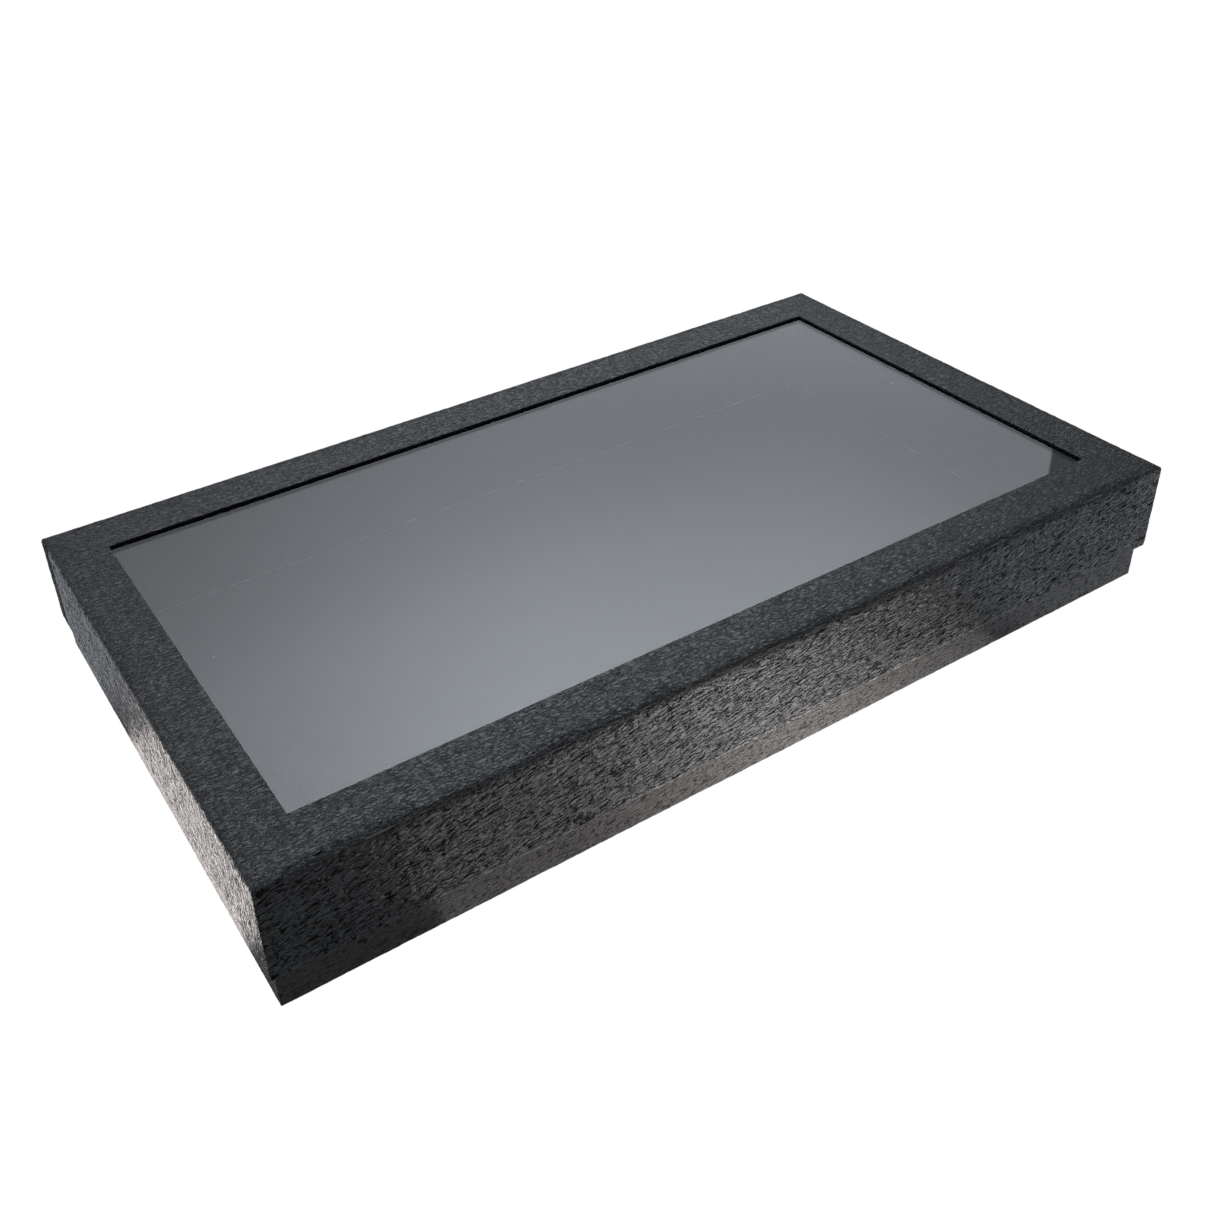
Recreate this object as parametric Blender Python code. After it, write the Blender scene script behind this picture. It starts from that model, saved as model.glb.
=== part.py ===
"""Shadow box: a board case covered in leatherette, with a glazed lid that lifts off a shallow base.

The origin is the centre of the lid's footprint, on the surface that the case stands on.
+X runs along the case, +Y towards its back and +Z up. Everything is in metres.
"""

import math
from collections import namedtuple

import bmesh
import bpy
from mathutils import Matrix, Vector

INCH = 0.0254
MM = 0.001

# Closed case, outside
CASE_LENGTH = 14.75 * INCH
CASE_WIDTH = 8.25 * INCH
CASE_HEIGHT = 2.0 * INCH
LID_SKIRT = 36.6 * MM

# Sheet goods
BOARD = 0.8 * MM
LEATHERETTE = 0.15 * MM
STAY_TAPE = 0.1 * MM
LINER_CARD = 0.5 * MM
RETAINER_CARD = 0.5 * MM
BOTTOM_CARD = 0.3 * MM
GLASS = 2.0 * MM

# Clearances, the space between board and cover that holds the stay tape, and glue lines
GAP = 0.3 * MM
SKIN_GAP = 0.2 * MM
GLUE = 0.05 * MM

# The lid hangs a little off centre on the base: how far the base stands in from each side of the lid
BASE_IN_LEFT = 1.5 * MM
BASE_IN_RIGHT = 3.6 * MM
BASE_IN_FRONT = 1.5 * MM
BASE_IN_BACK = 1.5 * MM

# Rails of the lid round the window
RAIL_LEFT = 19.9 * MM
RAIL_RIGHT = 20.0 * MM
RAIL_FRONT = 22.0 * MM
RAIL_BACK = 21.2 * MM

# Folds and turned-in edges
TOP_FOLD = 1.8 * MM
EDGE_FOLD = 0.4 * MM
BOTTOM_FOLD = 1.0 * MM
CORNER = 0.6 * MM
SHARP = 0.05 * MM
SKIRT_TURN_IN = 15.0 * MM
WINDOW_TURN_IN = 12.0 * MM
TURN_UNDER = 15.0 * MM
FOLD_STEPS = 4
CORNER_STEPS = 3

# Corner slits of the board blanks, and the tape that stays them
SLIT = 0.3 * MM
SLIT_REACH_OUT = 1.0 * MM
SLIT_REACH_IN = 2.4 * MM
TAPE_LEG = 12.0 * MM

# Glazing
PANE_LAP = 6.5 * MM
PANE_EDGE_ROUND = 0.2 * MM
RETAINER_LIP_FROM = 2.5 * MM
RETAINER_FLANGE = 5.0 * MM

# Lining
BOTTOM_SHEET_INSET = 3.0 * MM
LINER_BELOW_RIM = 1.0 * MM

# Heights and depths that follow
SKIN = LEATHERETTE + SKIN_GAP
WALL = SKIN + BOARD + GLUE + LEATHERETTE
HEM = CASE_HEIGHT - LID_SKIRT
LID_UNDERSIDE = CASE_HEIGHT - SKIN - BOARD
RIM = LID_UNDERSIDE - GAP
PANE_TOP = CASE_HEIGHT - WALL - GLUE
PANE_BOTTOM = PANE_TOP - GLASS
BASE_SKIN_BOTTOM = BOTTOM_CARD + GLUE
BASE_BOARD_BOTTOM = BASE_SKIN_BOTTOM + SKIN
FLOOR_BOTTOM = BASE_BOARD_BOTTOM + BOARD + GAP
FLOOR_TOP = FLOOR_BOTTOM + LINER_CARD
LINER_FACE = WALL + GAP + LINER_CARD

Outline = namedtuple("Outline", "x0 x1 y0 y1 corner")
LID = Outline(-CASE_LENGTH / 2, CASE_LENGTH / 2, -CASE_WIDTH / 2, CASE_WIDTH / 2, CORNER)
WINDOW = Outline(LID.x0 + RAIL_LEFT, LID.x1 - RAIL_RIGHT, LID.y0 + RAIL_FRONT, LID.y1 - RAIL_BACK, SHARP)
BASE = Outline(
    LID.x0 + BASE_IN_LEFT, LID.x1 - BASE_IN_RIGHT, LID.y0 + BASE_IN_FRONT, LID.y1 - BASE_IN_BACK, CORNER
)

# Name: colour, roughness
FINISHES = {
    "leatherette": ((0.014, 0.014, 0.015), 0.42),
    "greyboard": ((0.36, 0.34, 0.30), 0.90),
    "kraft_tape": ((0.42, 0.29, 0.16), 0.75),
    "glass": ((0.80, 0.86, 0.84), 0.03),
    "black_card": ((0.020, 0.020, 0.021), 0.80),
}


def clear_scene():
    for thing in list(bpy.data.objects):
        bpy.data.objects.remove(thing, do_unlink=True)


def make_materials():
    made = {}
    for name, (colour, roughness) in FINISHES.items():
        material = bpy.data.materials.new(name)
        material.use_nodes = True
        shader = material.node_tree.nodes["Principled BSDF"]
        shader.inputs["Base Color"].default_value = (*colour, 1.0)
        shader.inputs["Roughness"].default_value = roughness
        shader.inputs["Metallic"].default_value = 0.0
        if name == "glass":
            shader.inputs["Transmission Weight"].default_value = 1.0
        made[name] = material
    return made


def make_body(name, height):
    """An empty on the axis along which the lid lifts, which carries the pieces of one body."""
    body = bpy.data.objects.new(name, None)
    body.location = (0.0, 0.0, height)
    bpy.context.scene.collection.objects.link(body)
    return body


def corner_arc(outline, grow, index):
    """Plan points round one corner of the outline moved outwards by grow, anticlockwise from above.

    Corner 0 is front left, then front right, back right and back left.
    """
    radius = max(outline.corner + min(grow, 0.0), SHARP)
    x = (outline.x0 - grow + radius, outline.x1 + grow - radius)[index in (1, 2)]
    y = (outline.y0 - grow + radius, outline.y1 + grow - radius)[index in (2, 3)]
    points = []
    for step in range(CORNER_STEPS + 1):
        angle = math.radians(180.0 + 90.0 * (index + step / CORNER_STEPS))
        points.append((x + radius * math.cos(angle), y + radius * math.sin(angle)))
    return points


def level(outline, grow, z):
    """One closed level of points: the outline moved outwards by grow, at height z."""
    return [(x, y, z) for index in range(4) for x, y in corner_arc(outline, grow, index)]


def fold(outline, grow, z, radius, start, end):
    """Levels round a fold whose centre lies at grow and z. Angle 0 points outwards and 90 points up."""
    levels = []
    for step in range(FOLD_STEPS + 1):
        angle = math.radians(start + (end - start) * step / FOLD_STEPS)
        levels.append(level(outline, grow + radius * math.cos(angle), z + radius * math.sin(angle)))
    return levels


def make_solid(name, levels, material, body, ring=False):
    """A closed solid skinned over levels of points: capped at both ends, or joined end to start as a ring."""
    mesh = bmesh.new()
    rows = [[mesh.verts.new(point) for point in points] for points in levels]
    pairs = list(zip(rows, rows[1:]))
    if ring:
        pairs.append((rows[-1], rows[0]))
    for lower, upper in pairs:
        count = len(lower)
        for i in range(count):
            j = (i + 1) % count
            mesh.faces.new((lower[i], lower[j], upper[j], upper[i]))
    if not ring:
        mesh.faces.new(rows[0])
        mesh.faces.new(rows[-1])
    bmesh.ops.recalc_face_normals(mesh, faces=mesh.faces)
    data = bpy.data.meshes.new(name)
    mesh.to_mesh(data)
    mesh.free()
    data.shade_smooth()
    data.set_sharp_from_angle(angle=math.radians(30.0))
    solid = bpy.data.objects.new(name, data)
    bpy.context.scene.collection.objects.link(solid)
    if material:
        data.materials.append(material)
    if body:
        data.transform(Matrix.Translation(-body.location))
        solid.parent = body
    return solid


def make_slab(name, outline, grow, bottom, top, material, body):
    return make_solid(name, [level(outline, grow, bottom), level(outline, grow, top)], material, body)


def cut_corner_slits(board, outline, bottom, top):
    """Slits down the four corners, where the walls of the folded blank meet edge to edge."""
    cutter = bmesh.new()
    length = SLIT_REACH_OUT + SLIT_REACH_IN
    for sign_x, sign_y, x, y in (
        (-1, -1, outline.x0, outline.y0),
        (1, -1, outline.x1, outline.y0),
        (1, 1, outline.x1, outline.y1),
        (-1, 1, outline.x0, outline.y1),
    ):
        shift = (SLIT_REACH_OUT - SLIT_REACH_IN) / 2
        centre = Vector((x + sign_x * shift, y + sign_y * shift, (bottom + top) / 2))
        size = Matrix.Diagonal((length * math.sqrt(2.0), SLIT, top - bottom, 1.0))
        turn = Matrix.Rotation(math.atan2(sign_y, sign_x), 4, "Z")
        bmesh.ops.create_cube(cutter, size=1.0, matrix=Matrix.Translation(centre) @ turn @ size)
    data = bpy.data.meshes.new(board.name + "_slits")
    cutter.to_mesh(data)
    cutter.free()
    slits = bpy.data.objects.new(data.name, data)
    bpy.context.scene.collection.objects.link(slits)
    slits.hide_render = True
    slits.display_type = "WIRE"
    cut = board.modifiers.new("corner_slits", "BOOLEAN")
    cut.operation = "DIFFERENCE"
    cut.solver = "EXACT"
    cut.object = slits


def make_corner_stays(prefix, outline, bottom, top, material, body):
    """Four tape angles, each folded round one corner of a board tray, between board and leatherette."""
    outside = -LEATHERETTE - (SKIN_GAP - STAY_TAPE) / 2
    inside = outside - STAY_TAPE
    places = (
        ("front_left", (0, 1), (1, 0)),
        ("front_right", (-1, 0), (0, 1)),
        ("back_right", (0, -1), (-1, 0)),
        ("back_left", (1, 0), (0, -1)),
    )
    for index, (place, before, after) in enumerate(places):
        section = []
        for grow, order in ((outside, 1), (inside, -1)):
            arc = corner_arc(outline, grow, index)
            first = (arc[0][0] + before[0] * TAPE_LEG, arc[0][1] + before[1] * TAPE_LEG)
            last = (arc[-1][0] + after[0] * TAPE_LEG, arc[-1][1] + after[1] * TAPE_LEG)
            section += [first, *arc, last][::order]
        levels = [[(x, y, z) for x, y in section] for z in (bottom, top)]
        make_solid(prefix + "_corner_stay_" + place, levels, material, body)


def make_lid_board(materials, body):
    """The lid's folded blank: a flat top with the window cut out, and four skirts."""
    fold_centre = CASE_HEIGHT - TOP_FOLD
    levels = [
        level(WINDOW, SKIN, LID_UNDERSIDE),
        level(WINDOW, SKIN, CASE_HEIGHT - SKIN),
        *fold(LID, -TOP_FOLD, fold_centre, TOP_FOLD - SKIN, 90.0, 0.0),
        level(LID, -SKIN, HEM + SKIN),
        level(LID, -SKIN - BOARD, HEM + SKIN),
        *fold(LID, -TOP_FOLD, fold_centre, TOP_FOLD - SKIN - BOARD, 0.0, 90.0),
    ]
    return make_solid("lid_board", levels, materials["greyboard"], body, ring=True)


def make_lid_wrap(materials, body):
    """Leatherette over the lid, from under the window's edge to inside the skirts."""
    outer_levels = []
    inner_levels = []
    for levels, depth in ((outer_levels, 0.0), (inner_levels, LEATHERETTE)):
        small = EDGE_FOLD - depth
        under = CASE_HEIGHT - WALL + EDGE_FOLD
        levels.append(level(WINDOW, WINDOW_TURN_IN, CASE_HEIGHT - WALL + depth))
        levels += fold(WINDOW, EDGE_FOLD, under, small, 270.0, 180.0)
        levels += fold(WINDOW, EDGE_FOLD, CASE_HEIGHT - EDGE_FOLD, small, 180.0, 90.0)
        levels += fold(LID, -TOP_FOLD, CASE_HEIGHT - TOP_FOLD, TOP_FOLD - depth, 90.0, 0.0)
        levels += fold(LID, -EDGE_FOLD, HEM + EDGE_FOLD, small, 0.0, -90.0)
        levels += fold(LID, EDGE_FOLD - WALL, HEM + EDGE_FOLD, small, -90.0, -180.0)
        levels.append(level(LID, depth - WALL, HEM + SKIRT_TURN_IN))
    make_solid("lid_wrap", outer_levels + inner_levels[::-1], materials["leatherette"], body, ring=True)


def make_pane(materials, body):
    """The glass, with its arrises taken off."""
    grow = PANE_LAP
    arris = PANE_EDGE_ROUND
    levels = [
        level(WINDOW, grow - arris, PANE_BOTTOM),
        level(WINDOW, grow, PANE_BOTTOM + arris),
        level(WINDOW, grow, PANE_TOP - arris),
        level(WINDOW, grow - arris, PANE_TOP),
    ]
    make_solid("window_pane", levels, materials["glass"], body)


def make_retainers(materials, body):
    """Four folded card strips: a lip under the pane, a web past its edge, and a flange glued to the lid."""
    card = RETAINER_CARD
    web = PANE_LAP + GAP
    reach = web + card + RETAINER_FLANGE
    lip_top = PANE_BOTTOM - GAP
    section = (
        (RETAINER_LIP_FROM, lip_top - card),
        (web + card, lip_top - card),
        (web + card, PANE_TOP - card),
        (reach, PANE_TOP - card),
        (reach, PANE_TOP),
        (web, PANE_TOP),
        (web, lip_top),
        (RETAINER_LIP_FROM, lip_top),
    )
    long_ends = (WINDOW.x0 - reach, WINDOW.x1 + reach)
    short_gap = RETAINER_LIP_FROM - GAP
    short_ends = (WINDOW.y0 - short_gap, WINDOW.y1 + short_gap)
    strips = {
        "front": [[(x, WINDOW.y0 - out, z) for out, z in section] for x in long_ends],
        "back": [[(x, WINDOW.y1 + out, z) for out, z in section] for x in long_ends],
        "left": [[(WINDOW.x0 - out, y, z) for out, z in section] for y in short_ends],
        "right": [[(WINDOW.x1 + out, y, z) for out, z in section] for y in short_ends],
    }
    for side, levels in strips.items():
        make_solid("pane_retainer_" + side, levels, materials["black_card"], body)


def make_base_board(materials, body):
    """The base's folded blank: a flat floor and four walls."""
    fold_centre = BASE_SKIN_BOTTOM + BOTTOM_FOLD
    levels = [
        *fold(BASE, -BOTTOM_FOLD, fold_centre, BOTTOM_FOLD - SKIN, 270.0, 360.0),
        level(BASE, -SKIN, RIM - SKIN),
        level(BASE, -SKIN - BOARD, RIM - SKIN),
        level(BASE, -SKIN - BOARD, BASE_BOARD_BOTTOM + BOARD),
    ]
    return make_solid("base_board", levels, materials["greyboard"], body)


def make_base_wrap(materials, body):
    """Leatherette round the base, from under its floor to inside its walls."""
    outer_levels = []
    inner_levels = []
    for levels, depth in ((outer_levels, 0.0), (inner_levels, LEATHERETTE)):
        small = EDGE_FOLD - depth
        levels.append(level(BASE, -TURN_UNDER, BASE_SKIN_BOTTOM + depth))
        levels += fold(BASE, -BOTTOM_FOLD, BASE_SKIN_BOTTOM + BOTTOM_FOLD, BOTTOM_FOLD - depth, 270.0, 360.0)
        levels += fold(BASE, -EDGE_FOLD, RIM - EDGE_FOLD, small, 0.0, 90.0)
        levels += fold(BASE, EDGE_FOLD - WALL, RIM - EDGE_FOLD, small, 90.0, 180.0)
        levels.append(level(BASE, depth - WALL, RIM - SKIRT_TURN_IN))
    make_solid("base_wrap", outer_levels + inner_levels[::-1], materials["leatherette"], body, ring=True)


def make_lining(materials, body):
    """The four wall cards inside the base, and the floor card that lies between them."""
    card = materials["black_card"]
    make_slab("floor_liner", BASE, -LINER_FACE - GAP, FLOOR_BOTTOM, FLOOR_TOP, card, body)
    back_of_card = WALL + GAP
    x0, x1 = BASE.x0 + back_of_card, BASE.x1 - back_of_card
    y0, y1 = BASE.y0 + back_of_card, BASE.y1 - back_of_card
    between = LINER_CARD + GAP
    walls = {
        "front": (x0, x1, y0, y0 + LINER_CARD),
        "back": (x0, x1, y1 - LINER_CARD, y1),
        "left": (x0, x0 + LINER_CARD, y0 + between, y1 - between),
        "right": (x1 - LINER_CARD, x1, y0 + between, y1 - between),
    }
    top = RIM - LINER_BELOW_RIM
    for side, sides in walls.items():
        make_slab("wall_liner_" + side, Outline(*sides, SHARP), 0.0, FLOOR_BOTTOM, top, card, body)


def make_lid(materials):
    body = make_body("lid", HEM)
    board = make_lid_board(materials, body)
    cut_corner_slits(board, LID, HEM - SLIT_REACH_OUT, CASE_HEIGHT - TOP_FOLD - GAP)
    make_lid_wrap(materials, body)
    tape_top = CASE_HEIGHT - TOP_FOLD - GAP
    make_corner_stays("lid", LID, HEM + SKIN + GAP, tape_top, materials["kraft_tape"], body)
    make_pane(materials, body)
    make_retainers(materials, body)


def make_base(materials):
    body = make_body("base", 0.0)
    board = make_base_board(materials, body)
    walls_from = BASE_SKIN_BOTTOM + BOTTOM_FOLD + BOARD
    cut_corner_slits(board, BASE, walls_from, RIM + SLIT_REACH_OUT)
    make_base_wrap(materials, body)
    tape_top = RIM - SKIN - GAP
    make_corner_stays("base", BASE, walls_from, tape_top, materials["kraft_tape"], body)
    card = materials["black_card"]
    make_slab("base_bottom_sheet", BASE, -BOTTOM_SHEET_INSET, 0.0, BOTTOM_CARD, card, body)
    make_lining(materials, body)


clear_scene()
palette = make_materials()
make_base(palette)
make_lid(palette)
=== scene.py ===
"""Shadow box with a lift-off windowed lid: grained leatherette over board, a glass pane, a card-lined tray.

Lengths are in metres and the frame is the CAD's: +X along the box, +Y to its back, +Z up, floor at zero.
"""

import math

import bmesh
import bpy
import numpy as np
from mathutils import Matrix, Vector


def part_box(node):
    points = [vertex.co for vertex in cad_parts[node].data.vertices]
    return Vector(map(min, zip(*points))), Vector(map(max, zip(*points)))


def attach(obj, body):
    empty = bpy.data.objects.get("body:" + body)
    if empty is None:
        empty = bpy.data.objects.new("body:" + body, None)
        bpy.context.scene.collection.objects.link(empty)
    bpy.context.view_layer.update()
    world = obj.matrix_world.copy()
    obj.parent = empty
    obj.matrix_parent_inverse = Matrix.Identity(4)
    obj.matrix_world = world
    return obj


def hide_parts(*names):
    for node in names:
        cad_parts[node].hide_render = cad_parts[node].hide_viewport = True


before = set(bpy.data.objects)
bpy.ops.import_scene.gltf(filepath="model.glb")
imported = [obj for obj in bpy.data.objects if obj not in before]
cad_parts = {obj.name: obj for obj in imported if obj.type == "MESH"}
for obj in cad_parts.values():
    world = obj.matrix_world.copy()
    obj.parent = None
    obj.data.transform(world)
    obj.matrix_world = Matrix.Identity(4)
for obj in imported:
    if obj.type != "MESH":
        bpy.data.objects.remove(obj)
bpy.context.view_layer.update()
LID_LOW, LID_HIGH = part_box("lid_wrap")
BASE_LOW, BASE_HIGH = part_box("base_wrap")

MM = 0.001
WHITE = (1.0, 1.0, 1.0, 1)

# Each side of the box: the way that it runs and the way that it faces
AXES = {
    "front": ((1, 0), (0, -1)),
    "right": ((0, 1), (1, 0)),
    "back": ((-1, 0), (0, 1)),
    "left": ((0, -1), (-1, 0)),
}
KIND = {"front": "long", "right": "short", "back": "long", "left": "short"}

# The ways that a cover's face can point, as angles above the horizontal
OUTWARD, UPWARD, INWARD, DOWNWARD = 0.0, math.pi / 2, math.pi, -math.pi / 2

# The covers' outlines and levels, as in the CAD
RAIL = {"left": 19.9 * MM, "right": 20.0 * MM, "front": 22.0 * MM, "back": 21.2 * MM}
WINDOW_LOW = (LID_LOW.x + RAIL["left"], LID_LOW.y + RAIL["front"])
WINDOW_HIGH = (LID_HIGH.x - RAIL["right"], LID_HIGH.y - RAIL["back"])
WALL = 1.35 * MM  # cover, board and turned-in cover
SKIN = 0.35 * MM  # from the cover's face to its board
CORNER = 0.6 * MM
SHARP = 0.05 * MM
INSET = 0.05 * MM  # the covers' middle surface lies this far inside the CAD's face, to leave room for grain

# How the covers are folded
TOP_FOLD = 1.7 * MM
SOFT_FOLD = 0.9 * MM  # extra roundness along the front edge of the lid
SOFT_TALL = 0.70  # how much taller than wide that edge's fold is
SOFT_START = (0.037, 0.075)  # where the soft fold begins, past the taped corner, as a share of the side
EDGE_FOLD = 0.40 * MM
INNER_FOLD = 0.25 * MM
BOTTOM_FOLD = 1.0 * MM
SKIRT_TURN_IN = 15.0 * MM
WINDOW_TURN_IN = 9.0 * MM
RIM_TURN_IN = 15.0 * MM
TURN_UNDER = 14.0 * MM
SEAM_X = 107.9 * MM  # where the wrap's two ends meet on the back
TAB_REACH = 9.4 * MM  # how far a corner tab reaches along a short side
TAB_STEP = 0.07 * MM
TAPE_LEG = 13.0 * MM

# How finely the covers are meshed: points along a side, then the spacing of its rows
LID_MESH = {"long": (470, 0.42 * MM, 0.29 * MM), "short": (680, 0.62 * MM, 0.62 * MM)}  # rail, then skirt
BASE_MESH = {"long": (430, 0.36 * MM), "short": (520, 0.75 * MM)}
TURN_IN_STEP = 1.5 * MM
ARC_COLUMNS = 4
FOLD_ROWS = 15

# The pressed grain, as (lean, size, seed), and its depth in mm
TOP_GRAIN = (-0.08, 0.88, 11)
SKIRT_GRAIN = {
    "front": (0.22, 1.0, 23),
    "right": (0.06, 0.92, 37),
    "back": (0.22, 1.0, 29),
    "left": (0.06, 0.92, 31),
}
BASE_GRAIN = {
    "front": (0.16, 0.78, 61),
    "right": (0.05, 0.78, 67),
    "back": (0.16, 0.78, 73),
    "left": (0.05, 0.78, 79),
}
LID_GRAIN_ON_TOP = 0.10
LID_GRAIN_ON_SKIRT = 0.20
BASE_GRAIN_DEPTH = 0.11
MEAN_GRAIN = 0.80  # the grain height that stays on the cover's middle surface
PROUD = 0.04  # in mm, the most that anything on a cover stands out of it
BASE_SKIRT = 0.72  # how far the base's wrinkles and shine are those of the lid's skirt, not its top

# Inside the lid
PANE_TOP = 49.60 * MM
PANE_EDGE = 0.25 * MM
BOARD_INSET = 0.55 * MM  # the lid's shown board stands this far inside, clear of the pressed grain
BOARD_THICK = 0.55 * MM
BOARD_LAP = 0.15 * MM
BOARD_FRONT_FOLD = 3.3 * MM
BOARD_FRONT_TALL = 1.8
GLUE_BEAD = 0.30 * MM

# What the floor shines back: (x from, x to, blur), (y from, y to, blur), brightness
WARM_POOLS = (
    ((-0.131, 0.108, 0.003), (-0.20, -0.09, 0.01), 0.72),
    ((-0.032, 0.052, 0.062), (-0.21, -0.09, 0.02), 2.05),
    ((-0.60, -0.16, 0.01), (-0.075, 0.036, 0.006), 2.6),
)
COOL_POOLS = (
    ((-0.60, -0.16, 0.01), (0.060, 0.60, 0.02), 0.62),
    ((0.120, 0.60, 0.02), (-0.25, -0.09, 0.02), 0.45),
)
FLOOR_GLOW = 0.27
FLOOR_SIZE = 3.0
FLOOR_LEVEL = -0.2 * MM

# The room's light, by azimuth in degrees from +Y towards +X
GAP_EDGE = 54.1  # where the room's pale wall ends
GAP_GLOW = 0.20
ROOM_MIDDLE = 25
ROOM_GLOW = 0.10

LENS = 40.551
SENSOR = 36.0
LENS_SHIFT = (0.03617, -0.07215)
CAMERA_PLACE = (-0.24491, -0.36633, 0.32893)
CAMERA_AHEAD = (0.43791, 0.71584, -0.54388)
CAMERA_UP = (0.31999, 0.44125, 0.83840)


# Noise and leather grain over a flat sheet. The last number of each call is its seed.
def smooth(low, high, x):
    t = np.clip((x - low) / (high - low), 0.0, 1.0)
    return t * t * (3.0 - 2.0 * t)


def hump(x, middle, width):
    """A smooth hump, 1 at its middle and nearly 0 two widths away."""
    return np.exp(-(((x - middle) / width) ** 2))


def hashed(ix, iy, seed):
    """A number from 0 to 1 for each whole-numbered place, the same on each run."""
    h = ix.astype(np.uint32) * np.uint32(374761393) + iy.astype(np.uint32) * np.uint32(668265263)
    h = h + np.full_like(h, (seed * 2246822519 + 3266489917) & 0xFFFFFFFF)
    h = (h ^ (h >> np.uint32(13))) * np.uint32(1274126177)
    h = (h ^ (h >> np.uint32(16))) * np.uint32(2246822519)
    return ((h ^ (h >> np.uint32(15))) & np.uint32(0xFFFFFF)) / float(0xFFFFFF)


def noise(x, y, seed):
    """Smooth noise from -1 to 1 with features one unit across."""
    ix, iy = np.floor(x), np.floor(y)
    fx, fy = x - ix, y - iy
    fx = fx * fx * fx * (fx * (fx * 6 - 15) + 10)
    fy = fy * fy * fy * (fy * (fy * 6 - 15) + 10)
    ix, iy = ix.astype(np.int64), iy.astype(np.int64)
    low = hashed(ix, iy, seed) * (1 - fx) + hashed(ix + 1, iy, seed) * fx
    high = hashed(ix, iy + 1, seed) * (1 - fx) + hashed(ix + 1, iy + 1, seed) * fx
    return 2.0 * (low * (1 - fy) + high * fy) - 1.0


def ripple(x, line, seed):
    """The noise along one line, so that it changes with x only."""
    return noise(x, x * 0 + line, seed)


def cells(x, y, seed, jitter=0.85):
    """(distance past the nearest cell border, that cell's own number) on a jittered grid of unit cells."""
    ix, iy = np.floor(x).astype(np.int64), np.floor(y).astype(np.int64)
    first = np.full(x.shape, 9.0)
    second = np.full(x.shape, 9.0)
    own = np.zeros(x.shape)
    for dx in (-1, 0, 1):
        for dy in (-1, 0, 1):
            cx, cy = ix + dx, iy + dy
            px = cx + 0.5 + jitter * (hashed(cx, cy, seed) - 0.5)
            py = cy + 0.5 + jitter * (hashed(cx, cy, seed + 7) - 0.5)
            d = np.hypot(px - x, py - y)
            nearer = d < first
            second = np.where(nearer, first, np.minimum(second, d))
            own = np.where(nearer, hashed(cx, cy, seed + 13), own)
            first = np.where(nearer, d, first)
    return second - first, own


def leather_grain(s, t, lean, size, seed):
    """Height of the grain at places in mm on the flat sheet, 0 in a groove to 1 on a ridge.

    The ridges run along s, but for the lean.
    """
    x, y = s, t - lean * s
    wx = x + 1.5 * noise(x / 6.1, y / 3.3, seed) + 0.5 * noise(x / 2.1, y / 1.4, seed + 1)
    wy = y + 0.9 * noise(x / 5.3, y / 3.7, seed + 2) + 0.16 * noise(x / 1.9, y / 1.3, seed + 3)
    edge, own = cells(wx / (5.4 * size), wy / (1.45 * size), seed + 4)
    pebble = smooth(0.0, 0.42, edge) * (0.82 + 0.18 * own)
    fold = smooth(0.62, 1.0, 1.0 - np.abs(noise(wx / (5.2 * size), wy / (1.7 * size), seed + 5)))
    fine = noise(x / 1.3, y / 0.7, seed + 6)
    return np.clip(0.72 * pebble + 0.26 * (1 - fold) + 0.06 * fine, 0.0, 1.0)


# Folded covers, built as rows of points down each side
def box_outline(low, high, corner, grow=0.0):
    return (low[0] - grow, low[1] - grow), (high[0] + grow, high[1] + grow), corner


def side_path(low, high, corner, side, grow, columns):
    """One side of a rounded rectangle grown by `grow`, from the middle of one corner to that of the next.

    It gives distances along and out, and the two parts of the normal.
    """
    a0, a1, face = {
        "front": (low[0], high[0], -low[1]),
        "right": (low[1], high[1], high[0]),
        "back": (-high[0], -low[0], high[1]),
        "left": (-high[1], -low[1], -low[0]),
    }[side]
    radius = np.maximum(corner + grow, SHARP)
    turn = np.radians(45.0) * (1.0 - np.arange(ARC_COLUMNS) / ARC_COLUMNS)
    angle = np.concatenate([turn, np.zeros(columns - 2 * ARC_COLUMNS), turn[::-1]])
    sign = np.concatenate([-np.ones(columns // 2), np.ones(columns - columns // 2)])
    straight = np.linspace(0, 1, columns - 2 * ARC_COLUMNS)
    share = np.concatenate([np.zeros(ARC_COLUMNS), straight, np.ones(ARC_COLUMNS)])
    start, end = a0 - grow + radius, a1 + grow - radius
    along = start + share * (end - start) + sign * radius * np.sin(angle)
    out = face + grow - radius + radius * np.cos(angle)
    return along, out, sign * np.sin(angle), np.cos(angle)


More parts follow.
